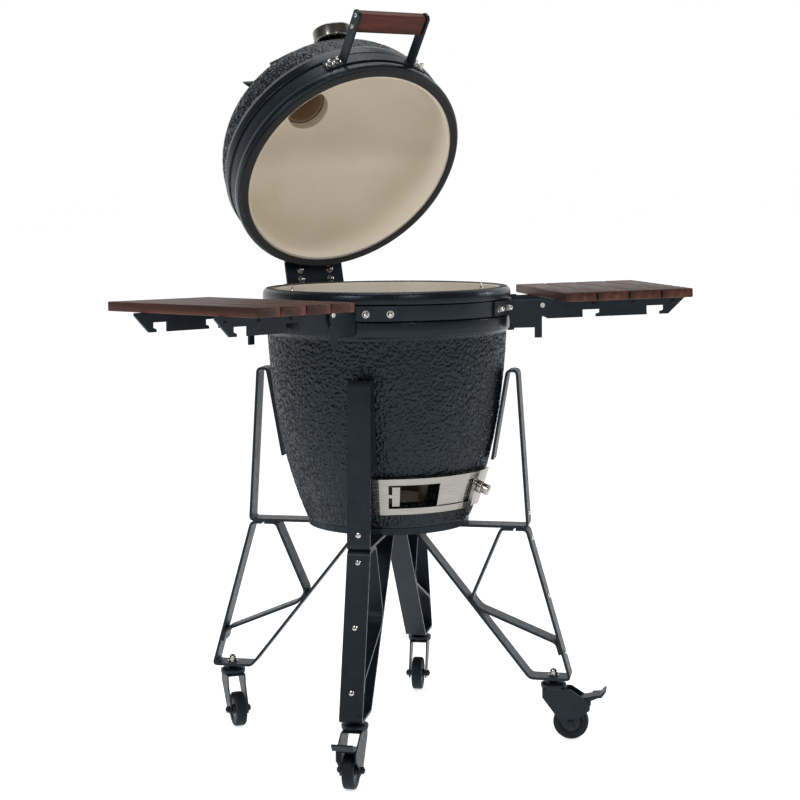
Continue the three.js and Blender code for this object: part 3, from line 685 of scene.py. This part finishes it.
def dome():
    side = [p for p in dome_side(DOME["radius"], DOME["height"], 150) if p[1] > 92]
    lip = fillet([
        (256, 0), (272, 0), (279.5, 3), (281, 12), (279.5, 22.5), (272, 24.5), (272, 60), (279.5, 61.5),
        (280, 82), (277.2, 88), side[0],
    ], 2.2, 4, closed=False)[1:-1]
    inner_radius = DOME["radius"] - DOME["wall"]
    inner = dome_side(inner_radius, DOME["height"] - DOME["wall"], 40)
    crown = [(52, 277.5), (52, 252)]
    profile = [*lip, *side, *crown, *reversed(inner[:-1]), (inner_radius, 30), (inner_radius, 4), (252, 0.6)]
    rings = turned_rings(profile)
    press(rings, len(lip), len(lip) + len(side) - 1)
    mesh = grid_mesh("dome_glaze", rings, True)
    made = bmesh.new()
    made.from_mesh(mesh)
    bmesh.ops.recalc_face_normals(made, faces=made.faces)
    made.faces.ensure_lookup_table()
    crown_ring = len(lip) + len(side)
    for face in made.faces:
        ring = face.verts[0].index // COLUMNS
        dented = len(lip) <= ring < crown_ring
        face.material_index = 1 if ring >= crown_ring else (0 if dented else 2)
    made.to_mesh(mesh)
    made.free()
    obj = square_up(mesh_object("dome_glaze", mesh, [GLAZE, INSIDE, SMOOTH_GLAZE], LID, 50))
    return finish_piece(obj, "lid", "glazed_ceramic", "ceramic_dome")


# Radii of the bands' and brackets' outer faces, and the dome band's middle height over DOME_Z.
BAND_FACE = 276.4
BRACKET_FACE = 281.2
BAND_MIDDLE = 43


def band(name, matrix, low, body, node):
    inner, high = 272.4, low + 32
    profile = fillet([(inner, low), (BAND_FACE, low), (BAND_FACE, high), (inner, high)], 1.0, 3)
    return finish_piece(square_up(lathe(name, profile, COATED, matrix)), body, "coated_steel", node)


def ring_pieces():
    band("bowl_band", AXIS, 970, BASE_BODY, "base_band")
    band("dome_band", LID, 26, "lid", "lid_band")
    gasket = fillet([(256.5, -4.2), (273.5, -4.2), (273.5, -0.4), (256.5, -0.4)], 1.6, 4)
    finish_piece(square_up(lathe("felt_gasket", gasket, FELT, LID)), "lid", "felt", "lid_gasket")
    low, high = RIM_Z - 0.1, RIM_Z + 0.3
    bowl_felt = fillet([(257, low), (272, low), (272, high), (257, high)], 0.1, 1)
    finish_piece(lathe("bowl_felt_edge", bowl_felt, FELT, AXIS), BASE_BODY, "felt")
    fire_ring = fillet([(208, 800.4), (226, 800.4), (237, 930), (238.8, 957.8), (221, 957.8)], 3, 4)
    finish_piece(lathe("fire_ring_shell", fire_ring, RAW, AXIS), BASE_BODY, "raw_ceramic", "fire_ring")


# ---------------------------------------------------------------- lid fittings

def probe_frame():
    r = 195
    z = dome_height(r)
    power, spring = DOME["power"], DOME["spring"]
    up = (z - spring) ** (power - 1) / (DOME["height"] - spring) ** power
    out = r ** (power - 1) / DOME["radius"] ** power
    tilt = math.atan2(up, out)
    return LID @ Matrix.Translation((0, -r, z)) @ Matrix.Rotation(math.pi / 2 - tilt, 4, "X")


def thermometer():
    place = probe_frame()
    case = lathe("thermometer_case", fillet([
        (40.5, 31), (40.5, 39), (44.5, 40.5), (46, 37), (46, 14), (43, 9.2),
        (18, 8), (18, 3.6), (4, 3.6), (4, 10), (39, 13), (39, 31),
    ], 1.2, 3), DARK_STEEL, place, 96)
    finish_piece(case, "lid", "stainless", "thermometer")
    stem = lathe("thermometer_stem", [(0, -74), (1.5, -74), (3.9, -68), (3.9, 8), (0, 8)], BRIGHT, place, 32)
    finish_piece(stem, "lid", "stainless")
    face = lathe("thermometer_dial", [(0, 29), (40.2, 29), (40.2, 30.4), (0, 30.4)], DIAL, place, 64)
    finish_piece(face, "lid", "stainless")
    marks = []
    for k in range(37):
        angle = math.radians(-225 + k * 7.5)
        length = 7 if k % 4 == 0 else 4
        at = Matrix.Rotation(angle, 4, "Z") @ Matrix.Translation((36 - length / 2, 0, 30.7))
        marks.append(rounded_box("mark", (length, 1.1 if k % 4 == 0 else 0.6, 0.3), 0.1, INK, place @ at, 1))
    needle = Matrix.Rotation(math.radians(-215), 4, "Z") @ Matrix.Translation((11, 0, 31.8))
    marks.append(rounded_box("needle", (38, 1.6, 0.5), 0.15, INK, place @ needle, 1))
    marks.append(lathe("hub", [(0, 30.3), (3.4, 30.3), (3.4, 33), (0, 33)], INK, place, 24))
    finish_piece(join("thermometer_marks", marks), "lid", "stainless")
    glass = lathe("thermometer_glass", [(0, 36.6), (40.2, 36.6), (40.2, 38.2), (0, 38.6)], GLASS, place, 64)
    finish_piece(glass, "lid", "stainless")


def handle():
    half = 88 - 3 - 0.6
    low, high = 32.3, 55.7
    place = LID @ Matrix.Translation((0, -366, (low + high) / 2))
    grip = rounded_box("wooden_grip", (2 * half, 45.4, high - low), 4.5, GRIP_WOOD, place, 5)
    finish_piece(grip, "lid", "stained_wood", "handle_grip")
    for side in (-1, 1):
        outwards = Matrix.Rotation(side * math.pi / 2, 4, "Y")
        for y in (-352, -380):
            place = LID @ Matrix.Translation((side * 91, y, BAND_MIDDLE)) @ outwards
            button_screw(f"grip_screw_{'left' if side < 0 else 'right'}_{-y}", place, "lid", 5)
    for azimuth in (-24.6, -20.8, 20.8, 24.6):
        name = f"handle_nut_{azimuth}".replace("-", "m").replace(".", "_")
        acorn_nut(name, facing_out(turn(azimuth, LID), BRACKET_FACE, BAND_MIDDLE), "lid")


def hinge():
    pin_place = Matrix.Translation(HINGE) @ Matrix.Scale(MM, 4) @ Matrix.Rotation(math.pi / 2, 4, "Y")
    pin = fillet([
        (0, -113), (10, -113), (10, -108), (5.9, -108), (5.9, 108), (10, 108), (10, 113), (0, 113),
    ], 1, 3, closed=False)
    finish_piece(lathe("hinge_rod", pin, BRIGHT, pin_place, 48), BASE_BODY, "stainless", "hinge_pin")
    for side, name in ((-1, "left"), (1, "right")):
        turns, steps = 4.6, 110
        start, end = 85.5, 105
        coil_radius = 10.6
        coil = []
        for k in range(steps + 1):
            angle = 2 * math.pi * turns * k / steps
            along = side * (start + (end - start) * k / steps)
            coil.append((coil_radius * math.cos(angle), coil_radius * math.sin(angle), along))
        tail = (coil[-1][0] + 2, coil[-1][1] - 30, coil[-1][2])
        spring = rod(f"hinge_coil_{name}", [*coil, tail], 2.1, COATED, pin_place)
        finish_piece(spring, BASE_BODY, "coated_steel", f"hinge_spring_{name}")
    for offset in (-30.5, -24, 24, 30.5):
        tag = f"{'left' if offset > 0 else 'right'}_{round(abs(offset))}"
        place = facing_out(turn(180 + offset, LID), BAND_FACE + 0.2, BAND_MIDDLE)
        acorn_nut(f"lid_band_nut_{tag}", place, "lid")
    web = (
        Matrix.Translation(HINGE) @ Matrix.Rotation(-OPEN, 4, "X") @ Matrix.Scale(MM, 4)
        @ Matrix.Rotation(math.radians(40.4), 4, "X")
    )
    for x in (-40, 40):
        for height in (24, 48):
            place = web @ Matrix.Translation((x, -2.4, height)) @ Matrix.Rotation(math.pi / 2, 4, "X")
            acorn_nut(f"hinge_web_nut_{'left' if x < 0 else 'right'}_{height}", place, "lid", 12)
    for x in (-40, 40):
        place = facing_out(turn(180), 278.4, 978, -x)
        acorn_nut(f"hinge_bowl_nut_{'left' if x < 0 else 'right'}", place, BASE_BODY, 11)


# ---------------------------------------------------------------- grates

def cooking_grate():
    place = AXIS @ Matrix.Rotation(math.radians(-31), 4, "Z")
    z = 961.3
    rim_angles = [2 * math.pi * k / 96 for k in range(96)]
    rim_points = [(234.5 * math.cos(a), 234.5 * math.sin(a), z) for a in rim_angles]
    rim = rod("grate_rim", rim_points, 3.2, BRIGHT, place, True)
    finish_piece(rim, "grate", "stainless", "cooking_grate")
    wires = []
    for k in range(-17, 18):
        x = k * 13.2
        half = math.sqrt(max(233.5 ** 2 - x ** 2, 1))
        wires.append([(x, -half, z + 0.6), (x, half, z + 0.6)])
    for index, wire in enumerate(wires):
        finish_piece(rod(f"grate_wire_{index:02d}", wire, 2.2, BRIGHT, place), "grate", "stainless")
    for y in (-110, 0, 110):
        half = math.sqrt(233.5 ** 2 - y ** 2)
        ends = [(-half, y, z - 1), (half, y, z - 1)]
        bar = rod(f"grate_bar_{y}".replace("-", "m"), ends, 2.8, BRIGHT, place)
        finish_piece(bar, "grate", "stainless")
    for side in (-1, 1):
        x = side * 214
        arch = [(x, 16 * math.cos(a), 1018 + 16 * math.sin(a)) for a in np.linspace(0, math.pi, 13)]
        points = [(x, 16, z), *arch, (x, -16, z)]
        loop = rod(f"grate_loop_{'a' if side < 0 else 'b'}", points, 2.4, BRIGHT, place)
        finish_piece(loop, "grate", "stainless")


# ---------------------------------------------------------------- draft door

def draft_knob():
    joint = JOINTS["draft_lock_turn"]
    axis = Vector(joint["axis"])
    place = (
        Matrix.Translation(joint["pos_m"])
        @ axis.to_track_quat("Z", "Y").to_matrix().to_4x4()
        @ Matrix.Scale(MM, 4)
    )
    profile = fillet([
        (0, 0), (13.4, 0), (13.4, 9), (8.8, 10), (11.8, 11), (11.8, 26), (0, 26),
    ], 1.0, 3, closed=False)
    finish_piece(lathe("draft_knob", profile, BRIGHT, place, 64), "lock", "stainless", "draft_lock_knob")


# ---------------------------------------------------------------- shelves

SHELF_PIVOT = (330, 988)
BRACKET_Z = 985
ARM_FACE = 115.5
LUG_FACE = 121.1
BOARD_WIDTH = (294 - 9) / 4


def shelf(name, azimuth):
    level = turn(azimuth)
    out, height = SHELF_PIVOT
    raised = (
        level @ Matrix.Translation((out, 0, height)) @ Matrix.Rotation(math.radians(-1), 4, "Y")
        @ Matrix.Translation((-out, 0, -height))
    )
    body = f"shelf_{name}"
    for k in range(4):
        x = 359 + k * (BOARD_WIDTH + 3) + BOARD_WIDTH / 2
        matrix = raised @ Matrix.Translation((x, 0, 1008))
        wood = BOARD_WOOD[(k + (name == "right")) % 2]
        plank = rounded_box(f"board_{name}_{k + 1}", (BOARD_WIDTH - 0.4, 415.6, 19.8), 2.4, wood, matrix, 3)
        finish_piece(plank, body, "stained_wood", f"shelf_board_{name}_{k + 1}")
    for side in (-1, 1):
        tag = f"{name}_{'a' if side < 0 else 'b'}"
        sideways = Matrix.Rotation(-side * math.pi / 2, 4, "X")
        for x in (452, 545, 640):
            place = raised @ Matrix.Translation((x, side * ARM_FACE, BRACKET_Z)) @ sideways
            button_screw(f"arm_screw_{tag}_{x}", place, body, 4.2, COATED)
        pivot = level @ Matrix.Translation((out, side * LUG_FACE, height)) @ sideways
        finish_piece(hexagon(f"shelf_pivot_{tag}", 11, 5, pivot), BASE_BODY, "stainless")
        for offset in (30.0, 40.5):
            bolt = facing_out(turn(azimuth + side * offset), BRACKET_FACE + 0.1, BRACKET_Z)
            acorn_nut(f"mount_nut_{tag}_{round(offset)}", bolt, BASE_BODY)


# ---------------------------------------------------------------- stand

LEGS = {"front_left": -42.5, "front_right": 47.5, "rear_right": 137.5, "rear_left": -132.5}


def caster_frame(corner):
    swivel = Vector(JOINTS[f"caster_swivel_{corner}"]["pos_m"])
    wheel = Vector(JOINTS[f"wheel_spin_{corner}"]["pos_m"])
    back = (wheel - swivel).xy
    heading = math.atan2(back.y, back.x)
    stem = Matrix.Translation((swivel.x, swivel.y, 0))
    return stem @ Matrix.Rotation(heading, 4, "Z") @ Matrix.Scale(MM, 4)


def caster(corner):
    place = caster_frame(corner)
    axle = place @ Matrix.Translation((40, 0, 40)) @ Matrix.Rotation(math.pi / 2, 4, "X")
    tread = fillet([
        (24, -12), (33, -13.2), (38.4, -12), (40, -8), (40, 8), (38.4, 12), (33, 13.2), (24, 12),
    ], 2.2, 4)
    wheel = f"wheel_{corner}"
    tyre = lathe("tyre_" + corner, tread, RUBBER, axle, 96)
    finish_piece(tyre, wheel, "wheel", f"caster_wheel_{corner}")
    hub = fillet([
        (4.6, -16.5), (10, -16.5), (12, -11), (22, -9.5), (24.2, -11.5),
        (24.2, 11.5), (22, 9.5), (12, 11), (10, 16.5), (4.6, 16.5),
    ], 1, 3)
    finish_piece(lathe("wheel_hub_" + corner, hub, PLASTIC, axle, 64), wheel, "wheel")
    swivel_frame = place @ Matrix.Translation((0, 0, 145.4))
    acorn_nut(f"stem_nut_{corner}", swivel_frame, BASE_BODY, 17)


def leg(corner, azimuth):
    plane = turn(azimuth)

    def side_nut(tag, x, z, direction):
        """A bolt head on a bar's outer face; direction is the face's normal in the leg's plane."""
        tilt = Matrix.Rotation(math.atan2(direction[0], direction[1]), 4, "Y")
        button_screw(f"leg_{tag}_{corner}", plane @ Matrix.Translation((x, 0, z)) @ tilt, BASE_BODY, 6.5)

    outer = (0.961, 0.276)
    for tag, z in (("bolt_top", 462), ("bolt_middle", 330), ("bolt_low", 200)):
        along = (484 - z) / 342
        side_nut(tag, 321 + 98 * along + 3.0 * outer[0] + 0.1, z + 3.0 * outer[1], outer)
    side_nut("bolt_hoop", 319.5 + 3.4, 520, (0.997, 0.068))


def dress_cad_nodes():
    """Materials and rounded edges for the CAD nodes that stay in view."""
    finishes = {
        "cast_iron": (IRON, 1.0), "coated_steel": (COATED, 0.7), "stainless": (STAINLESS, 0.4),
        "raw_ceramic": (RAW, 1.5), "wheel": (RUBBER, 1.0), "glazed_ceramic": (SMOOTH_GLAZE, 1.0),
        "felt": (FELT, 0.5), "stained_wood": (BOARD_WOOD[0], 1.0),
    }
    slots = {entry["node"]: entry["material_slot"] for entry in frame["record"]["subparts"]}
    for name, obj in frame["nodes"].items():
        material, width = finishes[slots[name]]
        obj.data.materials.clear()
        obj.data.materials.append(material)
        if name.startswith("vent"):
            obj.data.materials.append(VENT_IRON)
        for polygon in obj.data.polygons:
            polygon.use_smooth = True
            if name.startswith("vent") and polygon.normal.dot(LID_UP) < 0.2:
                polygon.material_index = 1
        bevel(obj, width * MM, 2, 32)
        obj.modifiers.new("weighted", "WEIGHTED_NORMAL").keep_sharp = True


def stage():
    mesh = bpy.data.meshes.new("floor")
    size = 60
    corners = [(-size, -size, 0), (size, -size, 0), (size, size, 0), (-size, size, 0)]
    mesh.from_pydata(corners, [], [(0, 1, 2, 3)])
    floor = mesh_object("floor", mesh, pale_floor(), Matrix.Translation((0, 0, -0.0006)))


def studio_world():
    """White behind the object, as the sweep is, and grey on the side that it is viewed from."""
    world = bpy.data.worlds.new("studio")
    world.use_nodes = True
    tree = world.node_tree
    source = tree.nodes.new("ShaderNodeTexCoord")
    facing = tree.nodes.new("ShaderNodeVectorMath")
    facing.operation = "DOT_PRODUCT"
    facing.inputs[1].default_value = (math.sin(VIEW_AZIMUTH), math.cos(VIEW_AZIMUTH), 0)
    span = tree.nodes.new("ShaderNodeMapRange")
    span.inputs["From Min"].default_value = 0.1
    span.inputs["From Max"].default_value = 0.7
    span.inputs["To Min"].default_value = 0.16
    span.inputs["To Max"].default_value = 1.0
    tree.nodes["Background"].inputs["Color"].default_value = (1, 1, 1, 1)
    tree.links.new(source.outputs["Generated"], facing.inputs[0])
    tree.links.new(facing.outputs["Value"], span.inputs["Value"])
    tree.links.new(span.outputs["Result"], tree.nodes["Background"].inputs["Strength"])
    bpy.context.scene.world = world


def lights():
    studio_world()
    for name, place, size, power in (
        ("key", (-3.4, -1.6, 2.9), 0.7, 46),
        ("front", (-0.6, -4.4, 3.2), 0.5, 36),
        ("fill", (3.2, -1.0, 1.9), 0.7, 16),
        ("top", (0.3, 0.4, 4.4), 2.0, 40),
    ):
        lamp = bpy.data.lights.new(name, "AREA")
        lamp.shape = "SQUARE"
        lamp.size = size
        lamp.energy = power
        obj = bpy.data.objects.new(name, lamp)
        bpy.context.scene.collection.objects.link(obj)
        aim = Vector((0, 0, 0.85)) - Vector(place)
        obj.matrix_world = Matrix.Translation(place) @ aim.to_track_quat("-Z", "Y").to_matrix().to_4x4()


def camera():
    data = bpy.data.cameras.new("camera")
    data.lens = 78.0
    data.sensor_width = 36
    data.shift_x = 0.01545
    data.clip_end = 300
    obj = bpy.data.objects.new("camera", data)
    bpy.context.scene.collection.objects.link(obj)
    azimuth = VIEW_AZIMUTH
    distance, height = 3.926, 1.2284
    place = (
        BOWL_CENTRE.x - distance * math.sin(azimuth),
        BOWL_CENTRE.y - distance * math.cos(azimuth),
        height,
    )
    obj.matrix_world = (
        Matrix.Translation(place)
        @ Matrix.Rotation(-azimuth, 4, "Z")
        @ Matrix.Rotation(math.pi / 2 - 0.116, 4, "X")
        @ Matrix.Rotation(-0.0096, 4, "Z")
    )
    bpy.context.scene.camera = obj


camera()
dress_cad_nodes()
bowl()
dome()
ring_pieces()
thermometer()
handle()
hinge()
cooking_grate()
draft_knob()
shelf("left", -70)
shelf("right", 70)
for corner_name, leg_azimuth in LEGS.items():
    caster(corner_name)
    leg(corner_name, leg_azimuth)
stage()
lights()
bpy.context.scene.view_settings.view_transform = "Standard"
